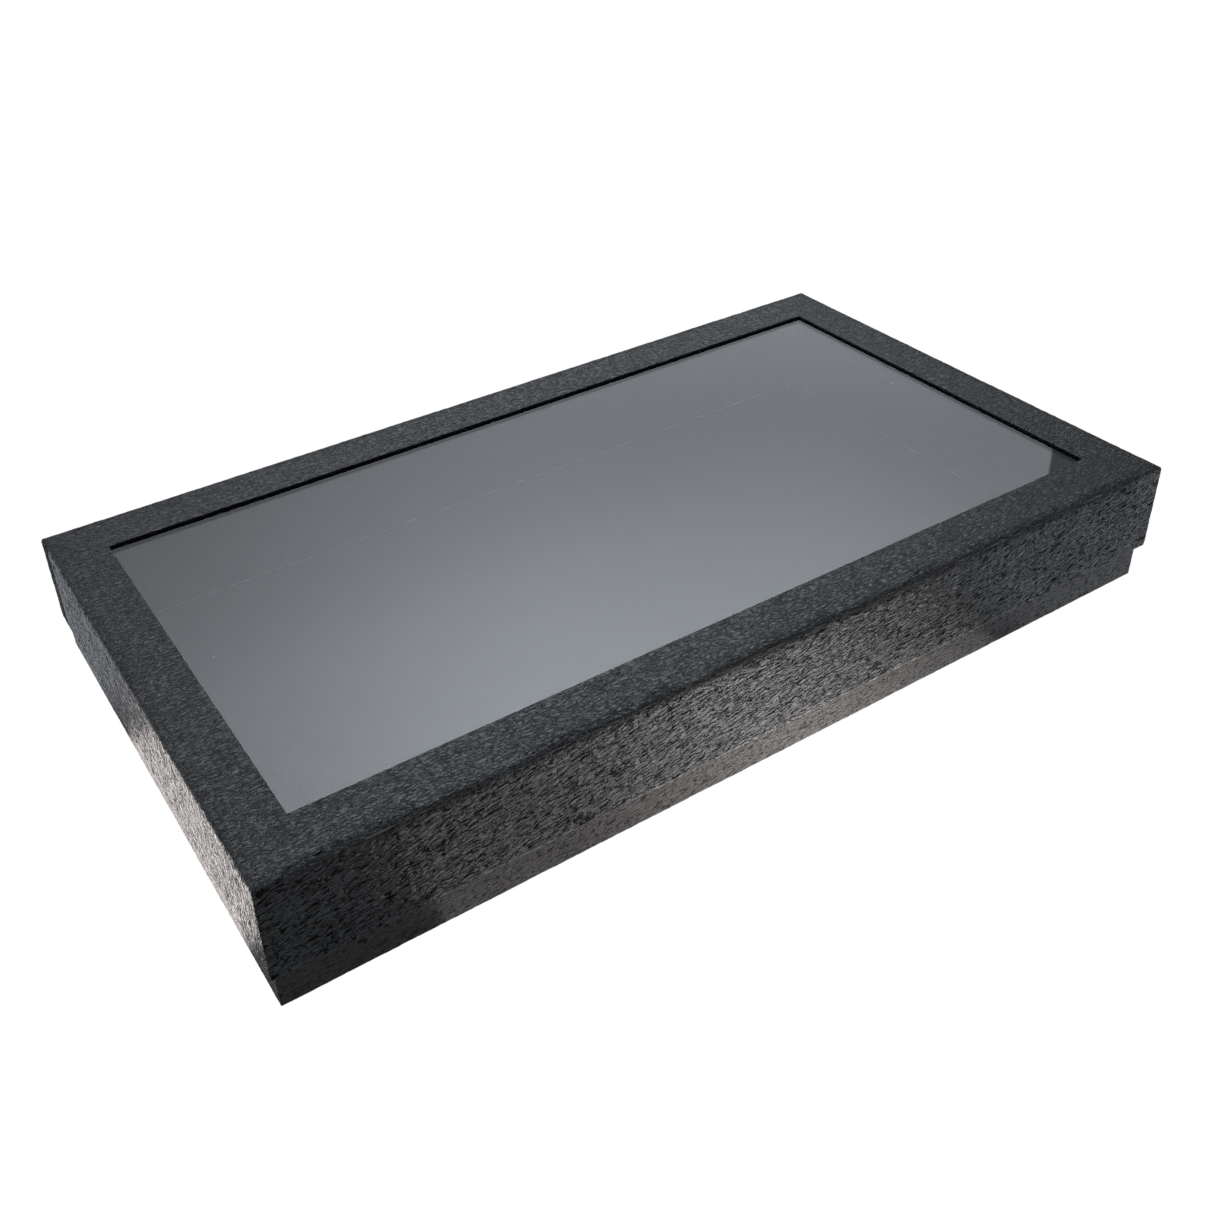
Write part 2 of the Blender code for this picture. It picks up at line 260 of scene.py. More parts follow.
class Cover:
    """Rows of points down one side of a folded cover, each with its normal."""

    def __init__(self, side, columns):
        self.side, self.columns = side, columns
        self.points, self.normals = [], []

    def on_axes(self, along, out):
        (tx, ty), (nx, ny) = AXES[self.side]
        return along * tx + out * nx, along * ty + out * ny

    def row(self, outline, grow, z, angle, other=None, share=0.0):
        """Adds a level: the outline grown, or a blend of it with another outline and growth."""
        along, out, turn, outward = side_path(*outline, self.side, grow, self.columns)
        if other is not None:
            along_b, out_b, _, _ = side_path(*other[0], self.side, other[1], self.columns)
            along = along * (1 - share) + along_b * share
            out = out * (1 - share) + out_b * share
        x, y = self.on_axes(along, out)
        nx, ny = self.on_axes(turn, outward)
        c, s = np.cos(angle), np.sin(angle)
        self.points.append(np.stack([x, y, np.broadcast_to(z, x.shape)], -1))
        self.normals.append(np.stack([nx * c, ny * c, np.broadcast_to(s, x.shape)], -1))

    def fold(self, outline, grow, z, radius, first, last, steps, tall=1.0):
        """Adds the rows of a fold round the centre (grow, z), its normal turning from one angle to another.

        These angles are in degrees. A fold may be taller than wide.
        """
        for degrees in np.linspace(first, last, steps):
            c, s = math.cos(math.radians(degrees)), math.sin(math.radians(degrees))
            self.row(outline, grow + radius * c, z + tall * radius * s, np.arctan2(s / tall, c))

    def levels(self, outline, grow, first, last, spacing, angle):
        """Adds upright rows between two heights, each given for every column, leaving out both ends."""
        for share in np.linspace(0, 1, max(3, int(abs(last - first).max() / spacing) + 1))[1:-1]:
            self.row(outline, grow, first + share * (last - first), angle)

    def sheet(self, top_row):
        """Places in mm on the flat sheet, laid out beyond the fold at top_row, and the length down to a row."""
        points = np.array(self.points)
        steps = np.linalg.norm(np.diff(points, axis=0), axis=-1)
        length = np.vstack([np.zeros(points.shape[1]), np.cumsum(steps, axis=0)])
        past = length - length[top_row]
        plan = points[:, :, :2].copy()
        edge = points[top_row, :, :2]
        for axis, way in enumerate(AXES[self.side][1]):
            if way:
                plan[top_row:, :, axis] = edge[:, axis] + way * past[top_row:]
        return plan[..., 0] / MM, plan[..., 1] / MM, length

    def row_numbers(self):
        return np.arange(len(self.points))[:, None] * np.ones((1, self.columns))

    def corner_distance(self):
        """Distances in mm along the side from its first corner and from its last."""
        points = np.array(self.points)[:, :, :2]
        (tx, ty), _ = AXES[self.side]
        along = points[..., 0] * tx + points[..., 1] * ty
        return (along - along[:, :1]) / MM, (along[:, -1:] - along) / MM


def add_object(name, mesh):
    piece = bpy.data.objects.new(name, mesh)
    bpy.context.scene.collection.objects.link(piece)
    return piece


def grid_piece(name, points, attributes):
    """A mesh over a grid of points, with named values at its points."""
    rows, columns = points.shape[:2]
    index = np.arange(rows * columns).reshape(rows, columns)
    corners = [index[:-1, :-1], index[1:, :-1], index[1:, 1:], index[:-1, 1:]]
    quads = np.stack(corners, -1).reshape(-1, 4)
    mesh = bpy.data.meshes.new(name)
    mesh.vertices.add(rows * columns)
    mesh.vertices.foreach_set("co", points.astype(np.float32).ravel())
    mesh.loops.add(quads.size)
    mesh.loops.foreach_set("vertex_index", quads.astype(np.int32).ravel())
    mesh.polygons.add(len(quads))
    mesh.polygons.foreach_set("loop_start", np.arange(0, quads.size, 4, dtype=np.int32))
    mesh.polygons.foreach_set("use_smooth", np.ones(len(quads), bool))
    mesh.update(calc_edges=True)
    for key, values in attributes.items():
        vector = values.ndim == 3
        attribute = mesh.attributes.new(key, "FLOAT_VECTOR" if vector else "FLOAT", "POINT")
        attribute.data.foreach_set("vector" if vector else "value", values.astype(np.float32).ravel())
    return add_object(name, mesh)


def finish_cover(cover, name, body, node, material, grain, depth, push, room, attributes):
    """Presses the grain into a cover's rows, moves them by the push in mm, and makes the cover's piece."""
    points, normals = np.array(cover.points), np.array(cover.normals)
    push = np.clip(push + depth * (grain - MEAN_GRAIN), -room, PROUD)
    points = points + normals * (push * MM)[..., None]
    piece = grid_piece(name, points, {**attributes, "grain": grain})
    piece.data.materials.append(material)
    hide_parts(node)
    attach(piece, body)


def top_fold(side, columns):
    """The fold's radius over each point of the lid's top edge, and its height over its width.

    Along the front it is rounder, taller and ragged between the taped corners.
    """
    share = np.linspace(0, 1, columns)
    inside = smooth(*SOFT_START, share) * smooth(*SOFT_START, 1 - share)
    soft = inside if side == "front" else np.zeros(columns)
    wander = 0.25 * ripple(share * 37.0, 3.5, 41) * smooth(0.0, 0.02, share)
    wander = wander * smooth(0.0, 0.02, 1 - share)
    ragged = 0.34 * MM * ripple(share * 150.0, 7.5, 42) + 0.16 * MM * ripple(share * 330.0, 0.0, 43)
    turn = TOP_FOLD + SOFT_FOLD * soft * (1.0 + wander) + 0.25 * MM * wander * inside + ragged * soft
    return turn, 1.0 + SOFT_TALL * soft * (1.0 + wander)


def lay_lid_rows(cover, side, turn, tall, top, hem):
    """Rows from under the window's edge, over the rail and down the skirt, and up inside it.

    It gives the rows at which the top fold starts, and the hem starts and ends.
    """
    columns, rail_step, skirt_step = LID_MESH[KIND[side]]
    case = box_outline(LID_LOW, LID_HIGH, CORNER, -INSET)
    window = box_outline(WINDOW_LOW, WINDOW_HIGH, SHARP, INSET)
    under = top - WALL + 0.2 * MM + INSET
    for grow in np.linspace(WINDOW_TURN_IN, EDGE_FOLD, 4)[:-1]:
        cover.row(window, grow, under, DOWNWARD)
    cover.fold(window, EDGE_FOLD, under + INNER_FOLD, INNER_FOLD, 270, 180, 4)
    cover.fold(window, EDGE_FOLD, top - EDGE_FOLD, EDGE_FOLD, 180, 90, 6)
    rail_rows = int((RAIL[side] - TOP_FOLD) / rail_step)
    for step in range(1, rail_rows):
        cover.row(window, EDGE_FOLD, top, UPWARD, (case, -turn), step / rail_rows)
    fold_start = len(cover.points)
    cover.fold(case, -turn, top - tall * turn, turn, 90, 0, FOLD_ROWS, tall)
    cover.levels(case, 0.0, top - tall * turn, np.full(columns, hem + EDGE_FOLD), skirt_step, OUTWARD)
    hem_start = len(cover.points)
    cover.fold(case, -EDGE_FOLD, hem + EDGE_FOLD, EDGE_FOLD, 0, -90, 6)
    inner = -(WALL - INSET) + INNER_FOLD
    cover.fold(case, inner, hem + INNER_FOLD, INNER_FOLD, -90, -180, 4)
    hem_end = len(cover.points)
    turned_in = np.full(columns, hem + INNER_FOLD), np.full(columns, hem + SKIRT_TURN_IN)
    cover.levels(case, inner - INNER_FOLD, *turned_in, TURN_IN_STEP, INWARD)
    return fold_start, hem_start, hem_end


def make_lid_cover(side, material):
    """One side of the lid's cover: its rail, top fold, skirt and hem, with puckers, laps, rubbed edges, a
    painted highlight along the hem and, on the left, painted shade at the skirt's back end.
    """
    cover = Cover(side, LID_MESH[KIND[side]][0])
    turn, tall = top_fold(side, cover.columns)
    top, hem = LID_HIGH.z - INSET, LID_LOW.z + INSET * 0.3
    fold_start, hem_start, hem_end = lay_lid_rows(cover, side, turn, tall, top, hem)
    s, t, length = cover.sheet(fold_start)
    rows = cover.row_numbers()
    folded = smooth(fold_start, fold_start + FOLD_ROWS - 1, rows)
    grain = leather_grain(s, t, *TOP_GRAIN) * (1 - folded)
    grain = grain + leather_grain(s, t, *SKIRT_GRAIN[side]) * folded

    # Where each point lies
    run = s if KIND[side] == "long" else t
    past_fold = (length - length[fold_start]) / MM
    near_start, near_end = cover.corner_distance()
    corner = np.minimum(near_start, near_end)
    above_hem = np.array(cover.points)[..., 2] - hem
    fold_middle = turn[None, :] / MM * (1 + tall) / 2 * math.pi / 4
    on_fold = hump(past_fold, fold_middle, 1.1 * fold_middle)
    at_edge = hump(past_fold, -0.8, 1.6)
    before_inside = 1 - smooth(hem_end - 2, hem_end, rows)
    outer = smooth(fold_start - 4, fold_start + 4, rows) * before_inside
    right_end = smooth(60.0, 175.0, run) if side == "front" else np.zeros_like(run)
    strength = 1.0 if side == "front" else 0.35

    # Puckers and cracks along the top edge, the skirt's bow, and the steps of its laps, in mm
    pucker = noise(run / 3.1, past_fold / 2.3, 51) * 0.5 + noise(run / 1.25, past_fold / 1.1, 52) * 0.5
    lumps = ripple(run / 9.0, 0.5, 53)
    push = strength * (0.30 + 0.10 * right_end) * on_fold * (pucker - 0.35)
    push = push + strength * 0.12 * on_fold * lumps
    dark_marks = smooth(0.80, 0.95, 1 - np.abs(noise(run / 3.4, past_fold / 0.85, 54))) * at_edge * strength
    dark_marks = dark_marks * smooth(-0.4, 0.2, ripple(run / 11.0, 0.2, 55))
    push = push - 0.16 * dark_marks
    bow = noise(run / 70.0, past_fold / 60.0, 56) * 0.5 - 0.5
    push = push + 0.07 * bow * outer * smooth(2.0, 8.0, corner)
    if KIND[side] == "short":
        push = push + TAB_STEP / MM * outer * (1 - smooth(TAB_REACH / MM, TAB_REACH / MM + 0.6, corner))
    if side == "back":
        push = push + TAB_STEP / MM * smooth(-0.25, 0.25, s - SEAM_X / MM) * smooth(-6.0, -1.0, past_fold)
    push = push * before_inside
    notch = np.exp(-np.maximum(above_hem, 0) / (1.1 * MM)) * hump(corner, 0.0, 0.6) * outer
    push = np.minimum(push - 0.35 * notch, PROUD)
    room = np.where(corner < TAPE_LEG / MM, 0.10, 0.30)

    # Rubbed folds, a painted highlight along the hem, the dark lines of laps and cracks, and painted shade at
    # the back end of the left skirt
    wear = 0.55 * on_fold + 0.75 * hump(rows, hem_start + 3, 4.0) + 0.35 * hump(corner, 0.0, 1.2) * outer
    wear = wear * (0.55 + 0.45 * noise(run / 4.0, past_fold / 3.0, 57)) + 0.35 * right_end * on_fold
    # A painted highlight in dashes along the hem, strongest along the middle of the front
    hem_highlight = hump(above_hem / MM, 0.30, 0.30) * outer * 0.4
    if side == "front":
        hem_highlight = hem_highlight * (0.2 + 2.3 * smooth(-150.0, -110.0, run) * (1 - smooth(85.0, 125.0, run)))
    dashes = smooth(-0.1, 0.35, ripple(run / 2.0, 0.5, 58)) * smooth(-0.5, 0.1, ripple(run / 17.0, 0.0, 59))
    seams_and_painted_shade = np.zeros_like(s)
    if side == "back":
        seams_and_painted_shade = hump(s, SEAM_X / MM, 0.35) * outer
    if KIND[side] == "short":
        seams_and_painted_shade = hump(corner, TAB_REACH / MM, 0.35) * outer * 0.5
    # On the left, painted shade over the corner tab at the back end of the skirt
    if side == "left":
        seams_and_painted_shade = seams_and_painted_shade + 0.85 * (1 - smooth(TAB_REACH / MM - 0.5, TAB_REACH / MM, near_start)) * outer * folded
    attributes = {
        "sheet": np.stack([s, t, np.zeros_like(s)], -1),
        "wear": np.clip(wear, 0, 1),
        # Dark cracks, seams and notches, and on the left painted shade at the skirt's back end
        "dark_marks": np.clip(dark_marks + seams_and_painted_shade + 0.8 * notch, 0, 1),
        "skirt": folded,
        "painted_hem_highlight": hem_highlight * (0.25 + 0.75 * dashes),
        "edge": at_edge * strength * smooth(-0.5, 0.1, ripple(run / 13.0, 0.2, 60)),
        "crease": on_fold * strength * (0.6 + 0.4 * right_end),
    }
    depth = LID_GRAIN_ON_TOP + (LID_GRAIN_ON_SKIRT - LID_GRAIN_ON_TOP) * folded
    name = "lid_cover_" + side
    finish_cover(cover, name, "lid", "lid_wrap", material, grain, depth, push, room, attributes)


def make_base_cover(side, material):
    """One side of the base's cover, from inside the rim, down the wall and in under the box."""
    columns, spacing = BASE_MESH[KIND[side]]
    cover = Cover(side, columns)
    case = box_outline(BASE_LOW, BASE_HIGH, CORNER, -INSET)
    rim, sole = BASE_HIGH.z - INSET * 0.5, BASE_LOW.z + INSET * 0.5
    inner = -(WALL - INSET) + INNER_FOLD
    level = np.full(columns, 1.0)
    turned_in = level * (rim - RIM_TURN_IN), level * (rim - INNER_FOLD)
    cover.levels(case, inner - INNER_FOLD, *turned_in, TURN_IN_STEP, INWARD)
    cover.fold(case, inner, rim - INNER_FOLD, INNER_FOLD, 180, 90, 4)
    rim_row = len(cover.points)
    cover.fold(case, -EDGE_FOLD, rim - EDGE_FOLD, EDGE_FOLD, 90, 0, 6)
    cover.levels(case, 0.0, level * (rim - EDGE_FOLD), level * (sole + BOTTOM_FOLD), spacing, OUTWARD)
    sole_row = len(cover.points)
    cover.fold(case, -BOTTOM_FOLD, sole + BOTTOM_FOLD, BOTTOM_FOLD, 0, -90, 8)
    for grow in np.linspace(-BOTTOM_FOLD, -TURN_UNDER, 16)[1:]:
        cover.row(case, grow, sole, DOWNWARD)

    s, t, _ = cover.sheet(rim_row)
    rows = cover.row_numbers()
    grain = leather_grain(s, t, *BASE_GRAIN[side])
    run = s if KIND[side] == "long" else t
    corner = np.minimum(*cover.corner_distance())
    outer = smooth(rim_row, rim_row + 2, rows) * (1 - smooth(sole_row, sole_row + 8, rows))
    at_foot = hump(rows, sole_row + 2, 3.0)
    push = 0.05 * (noise(run / 60.0, rows / 60.0, 71) - 1.0) * outer
    push = push + 0.06 * at_foot * noise(run / 6.0, rows / 4.0, 72)
    room = np.where(corner < TAPE_LEG / MM, 0.10, 0.26)
    wear = 0.6 * at_foot * (0.6 + 0.4 * noise(run / 5.0, rows / 5.0, 73))
    wear = wear + 0.3 * hump(corner, 0.0, 1.0) * outer
    attributes = {
        "sheet": np.stack([s, t, np.zeros_like(s)], -1),
        "wear": np.clip(wear, 0, 1),
        "dark_marks": np.zeros_like(s),
        "skirt": np.full_like(s, BASE_SKIRT),
    }
    name = "base_cover_" + side
    finish_cover(cover, name, "base", "base_wrap", material, grain, BASE_GRAIN_DEPTH, push, room, attributes)


def make_lid_board(material):
    """The lid's board shell, shown inside the lifted lid, under the covers."""
    case = box_outline(LID_LOW, LID_HIGH, CORNER, -BOARD_INSET)
    window = box_outline(WINDOW_LOW, WINDOW_HIGH, SHARP, SKIN)
    low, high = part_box("lid_board")
    inner = -(WALL - SKIN + BOARD_LAP - BOARD_INSET)
    top, bottom = high.z - (BOARD_INSET - SKIN), low.z
    ceiling = top - BOARD_THICK
    joined = bmesh.new()
    for side in AXES:
        cover = Cover(side, 60)
        cover.row(window, 0.0, ceiling, INWARD)
        cover.row(window, 0.0, top, INWARD)
        radius, tall = (BOARD_FRONT_FOLD, BOARD_FRONT_TALL) if side == "front" else (TOP_FOLD, 1.0)
        cover.fold(case, -radius, top - tall * radius, radius, 90, 0, 9, tall)
        cover.row(case, 0.0, bottom, OUTWARD)
        cover.row(case, inner, bottom, OUTWARD)
        cover.row(case, inner, ceiling, OUTWARD)
        cover.row(window, 0.0, ceiling, INWARD)
        piece = grid_piece("board_side_" + side, np.array(cover.points), {})
        joined.from_mesh(piece.data)
        bpy.data.objects.remove(piece)
    bmesh.ops.remove_doubles(joined, verts=joined.verts, dist=0.02 * MM)
    mesh = bpy.data.meshes.new("lid_board_shell")
    joined.to_mesh(mesh)
    joined.free()
    mesh.materials.append(material)
    shell = add_object("lid_board_shell", mesh)
    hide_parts("lid_board")
    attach(shell, "lid")


def make_pane(material):
    """The pane with its ground edges, drawn up against the underside of the cover's turned-in edge."""
    low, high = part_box("window_pane")
    lift = PANE_TOP - high.z
    shape = bmesh.new()
    bmesh.ops.create_cube(shape, size=1.0)
    for vert in shape.verts:
        share = [0.5 + c for c in vert.co]
        vert.co = [low[i] + share[i] * (high[i] - low[i]) for i in range(3)]
        vert.co.z += lift
    bmesh.ops.bevel(shape, geom=shape.edges[:], offset=PANE_EDGE, segments=2, profile=0.6, affect="EDGES")
    mesh = bpy.data.meshes.new("pane_shown")
    shape.to_mesh(mesh)
    shape.free()
    mesh.materials.append(material)
    pane = add_object("pane_shown", mesh)
    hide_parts("window_pane")
    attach(pane, "lid")


def glue_line(name, a, b, seed):
    """A thin uneven bead of dried glue from a to b."""
    a, b = np.array(a), np.array(b)
    way = (b - a) / np.linalg.norm(b - a)
    up = np.array([0.0, 0.0, 1.0])
    out = np.cross(way, up)
    run = np.linspace(0, np.linalg.norm(b - a) / MM, 360)
    size = (0.26 + 0.10 * ripple(run / 5.0, 0.0, seed) + 0.05 * ripple(run / 1.3, 0.0, seed + 1)) * MM
    wander = 0.04 * MM * ripple(run / 24.0, 0.0, seed + 2)
    turn = np.linspace(0, 2 * math.pi, 9)
    ring = np.cos(turn)[None, :, None] * out + np.sin(turn)[None, :, None] * up
    centre = a + (run * MM)[:, None] * way + wander[:, None] * out
    return grid_piece(name, centre[:, None, :] + ring * size[:, None, None], {})


def make_glue_beads(material):
    """The beads along the back and right edges of the floor card."""
    low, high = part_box("floor_liner")
    left, right = low.x + GLUE_BEAD, high.x - GLUE_BEAD
    front, back = low.y + GLUE_BEAD, high.y - GLUE_BEAD
    level = high.z
    for name, a, b, seed in (
        ("glue_bead_back", (left, back, level), (right, back, level), 81),
        ("glue_bead_right", (right, back, level), (right, front, level), 84),
    ):
        line = glue_line(name, a, b, seed)
        line.data.materials.append(material)
        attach(line, "base")


# Shader nodes: a value given to any of these may also be another node's output
def feed(tree, socket, value):
    if isinstance(value, bpy.types.NodeSocket):
        tree.links.new(value, socket)
    else:
        socket.default_value = value


def put(tree, kind, settings=None, inputs=None):
    """Adds a shader node with its settings and inputs."""
    node = tree.nodes.new("ShaderNode" + kind)
    for key, value in (settings or {}).items():
        setattr(node, key, value)
    for key, value in (inputs or {}).items():
        feed(tree, node.inputs[key], value)
    return node


def new_material(name):
    material = bpy.data.materials.new(name)
    material.use_nodes = True
    return material, material.node_tree, material.node_tree.nodes["Principled BSDF"]


def set_shader(tree, shader, **inputs):
    for key, value in inputs.items():
        feed(tree, shader.inputs[key.replace("_", " ")], value)


def mapped(tree, value, low, high, to_low, to_high):
    """A value taken smoothly from one range to another."""
    ranges = {"From Min": low, "From Max": high, "To Min": to_low, "To Max": to_high}
    node = put(tree, "MapRange", {"interpolation_type": "SMOOTHSTEP"}, {"Value": value, **ranges})
    return node.outputs["Result"]


def blended(tree, share, a, b):
    """A colour between two others."""
    return put(tree, "Mix", {"data_type": "RGBA"}, {0: share, 6: a, 7: b}).outputs[2]


def maths(tree, operation, a, b=0.0):
    return put(tree, "Math", {"operation": operation}, {0: a, 1: b}).outputs[0]


def product(tree, first, *others):
    for other in others:
        first = maths(tree, "MULTIPLY", first, other)
    return first


def total(tree, first, *others):
    for other in others:
        first = maths(tree, "ADD", first, other)
    return first


def attribute(tree, name, output="Fac"):
    return put(tree, "Attribute", {"attribute_name": name}).outputs[output]


def mist(tree, place, scale, detail, **more):
    """Soft noise from 0 to 1."""
    inputs = {"Vector": place, "Scale": scale, "Detail": detail, **more}
    return put(tree, "TexNoise", None, inputs).outputs["Fac"]


def flat_noise(tree, sheet, scale, detail, location=(0, 0, 0), distortion=0.0):
    """Soft noise from 0 to 1 in the plane of the sheet, stretched by a scale along each axis."""
    place = put(tree, "Mapping", None, {"Vector": sheet, "Scale": scale, "Location": location}).outputs[0]
    inputs = {"Vector": place, "Scale": 1.0, "Detail": detail, "Distortion": distortion}
    return put(tree, "TexNoise", {"noise_dimensions": "2D"}, inputs).outputs["Fac"]


def from_middle(tree, value):
    """How far a noise is from its middle value, 0 along its winding middle line."""
    return maths(tree, "ABSOLUTE", maths(tree, "SUBTRACT", value, 0.5))


def wrinkles(tree, sheet, turn, length, width, seed):
    """Height of wavy wrinkles that run at an angle to the sheet, 0 in their grooves; lengths are in mm."""
    turned = put(tree, "Mapping", {"vector_type": "TEXTURE"}, {"Vector": sheet, "Rotation": (0, 0, turn)})
    heights = []
    for share, shift, groove in ((1.0, seed, 0.060), (0.62, seed + 40, 0.052)):
        scale = (1 / (length * share), 1 / (width * share), 1.0)
        wave = flat_noise(tree, turned.outputs[0], scale, 1.0, (shift, shift, 0), 0.35)
        heights.append(mapped(tree, from_middle(tree, wave), 0.0, groove, 1.0 - share, 1.0))
    return product(tree, *heights)


def leatherette(name, ridge, groove, rough_ridge, rough_groove, depth, size, sheen):
    """Embossed leatherette: grooves darkened partly by their own tone and partly by painted shade, slightly
    paler ridges, fine wrinkles, rubbed folds, and a painted highlight along the hem.
    """
    material, tree, shader = new_material(name)
    sheet = attribute(tree, "sheet", "Vector")
    grain, wear, skirt = attribute(tree, "grain"), attribute(tree, "wear"), attribute(tree, "skirt")

    # Fine splits and puckers along the top edge
    split = from_middle(tree, flat_noise(tree, sheet, (0.30, 1.15, 1.0), 2.0))
    split = product(tree, mapped(tree, split, 0.012, 0.040, 1.0, 0.0), attribute(tree, "edge"))
    dark_marks = maths(tree, "MAXIMUM", attribute(tree, "dark_marks"), split)
    pucker = product(tree, flat_noise(tree, sheet, (0.62, 0.85, 1.0), 2.0), 3.5, attribute(tree, "crease"))

    # Height over the grain and wrinkles, which run one way on the lid's top and another down the sides
    on_top = wrinkles(tree, sheet, -0.06, 4.4 * size, 1.35 * size, 2.0)
    on_sides = wrinkles(tree, sheet, 0.24, 4.6 * size, 1.65 * size, 9.0)
    wrinkle = put(tree, "Mix", None, {"Factor": skirt, 2: on_top, 3: on_sides}).outputs[0]
    grain_height = mapped(tree, grain, 0.05, 0.80, 0.70, 1.0)
    height = product(tree, grain_height, mapped(tree, wrinkle, 0.0, 1.0, 0.08, 1.0))
    hollow = product(tree, maths(tree, "SUBTRACT", 1.0, height), mapped(tree, skirt, 0.0, 1.0, 0.40, 1.0))
    height = maths(tree, "SUBTRACT", 1.0, hollow)

    fibre = mist(tree, sheet, 1.9, 3.0, Roughness=0.55)
    cloud = mist(tree, sheet, 0.045, 3.0)
    # Darker in the grooves: partly the grain's own tone, partly painted shade
    tint = blended(tree, height, groove, ridge)
    tint = blended(tree, mapped(tree, cloud, 0.35, 0.7, 0.0, 0.35), tint, groove)
    tint = blended(tree, mapped(tree, wear, 0.25, 1.0, 0.0, 0.5), tint, (0.050, 0.051, 0.054, 1))
    # Dark cracks, seams and notches, and painted shade at the left skirt's back end
    tint = blended(tree, product(tree, dark_marks, 0.85), tint, (0.002, 0.002, 0.002, 1))
    # Painted highlight along the hem
    tint = blended(tree, attribute(tree, "painted_hem_highlight"), tint, (0.60, 0.56, 0.52, 1))
    rough = mapped(tree, height, 0.1, 0.9, rough_groove, rough_ridge)
    rough = total(tree, rough, mapped(tree, fibre, 0.3, 0.7, -0.05, 0.05), product(tree, dark_marks, 0.25))
    # Reflection weaker in the grooves, as painted shade, and in the dark marks
    shine = product(
        tree,
        mapped(tree, height, 0.1, 0.9, 0.12, 1.0),
        maths(tree, "SUBTRACT", 1.0, dark_marks),
        mapped(tree, skirt, 0.0, 1.0, 0.50, 0.74),
    )

    relief = product(tree, grain, mapped(tree, skirt, 0.0, 1.0, 0.60, 1.0))
    relief = total(tree, relief, product(tree, wrinkle, 0.85), pucker)
    relief = maths(tree, "SUBTRACT", relief, product(tree, split, 0.8))
    coarse = put(tree, "Bump", None, {"Strength": 1.0, "Distance": depth, "Height": relief}).outputs[0]
    fine = {"Strength": 0.8, "Distance": depth * 0.20, "Height": fibre, "Normal": coarse}
    fine = put(tree, "Bump", None, fine).outputs[0]
    set_shader(tree, shader, Base_Color=tint, Roughness=rough, Normal=fine)
    set_shader(tree, shader, Specular_IOR_Level=shine, Specular_Tint=sheen)
    return material


def card(name, face, fleck, fleck_share, rough, fibre_scale, depth, unevenness=0.28):
    """Card, board or paper: a fibrous sheet with flecks and a faint uneven tone."""
    material, tree, shader = new_material(name)
    place = put(tree, "TexCoord").outputs["Object"]
    fibre_place = put(tree, "Mapping", None, {"Vector": place, "Scale": (1.0, 2.6, 1.4)}).outputs[0]
    fibre = mist(tree, fibre_place, fibre_scale, 2.0)
    cloud = mist(tree, place, 22.0, 3.0)
    flecks = put(tree, "TexVoronoi", None, {"Vector": fibre_place, "Scale": fibre_scale * 0.6})
    spots = mapped(tree, flecks.outputs["Distance"], 0.12, 0.05, 0.0, fleck_share)
    dim = tuple((1 - unevenness) * c for c in face[:3]) + (1,)
    tint = blended(tree, mapped(tree, cloud, 0.35, 0.65, 0.0, 1.0), face, dim)
    tint = blended(tree, mapped(tree, fibre, 0.35, 0.75, 0.0, 0.45), tint, dim)
    tint = blended(tree, spots, tint, fleck)
    uneven_rough = mapped(tree, fibre, 0.3, 0.7, rough - 0.08, rough + 0.08)
    bump = put(tree, "Bump", None, {"Strength": 0.6, "Distance": depth, "Height": fibre})
    set_shader(tree, shader, Base_Color=tint, Roughness=uneven_rough, Normal=bump.outputs[0])
    return material


def pane_glass(name):
    """Clear glass with a little dust, through which light falls straight onto the tray."""
    material, tree, shader = new_material(name)
    place = put(tree, "TexCoord").outputs["Object"]
    specks = put(tree, "TexVoronoi", None, {"Vector": place, "Scale": 95.0})
    chosen = mapped(tree, specks.outputs["Color"], 0.80, 0.84, 0.0, 1.0)
    dots = product(tree, mapped(tree, specks.outputs["Distance"], 0.035, 0.020, 0.0, 1.0), chosen)
    set_shader(tree, shader, Base_Color=(0.97, 0.985, 0.975, 1), Roughness=0.0)
    set_shader(tree, shader, IOR=1.5, Transmission_Weight=1.0)
    dust = put(tree, "BsdfDiffuse", None, {"Color": (0.72, 0.72, 0.70, 1)})
    dusty = put(tree, "MixShader", None, {0: dots, 1: shader.outputs[0], 2: dust.outputs[0]})
    clear = put(tree, "BsdfTransparent", None, {"Color": (0.90, 0.91, 0.90, 1)})
    shadow = put(tree, "LightPath").outputs["Is Shadow Ray"]
    seen = put(tree, "MixShader", None, {0: shadow, 1: dusty.outputs[0], 2: clear.outputs[0]})
    tree.links.new(seen.outputs[0], tree.nodes["Material Output"].inputs["Surface"])
    return material


def dried_glue(name):
    material, tree, shader = new_material(name)
    place = put(tree, "TexCoord").outputs["Object"]
    cloud = mapped(tree, mist(tree, place, 300.0, 3.0), 0.35, 0.65, 0.0, 1.0)
    tint = blended(tree, cloud, (0.30, 0.30, 0.28, 1), (0.10, 0.10, 0.095, 1))
    set_shader(tree, shader, Base_Color=tint, Roughness=0.45)
    return material


def dress(node, material):
    """Gives a CAD node its material."""
    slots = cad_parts[node].material_slots
    if len(slots):
        for one in slots:
            one.material = material
    else:
        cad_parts[node].data.materials.append(material)


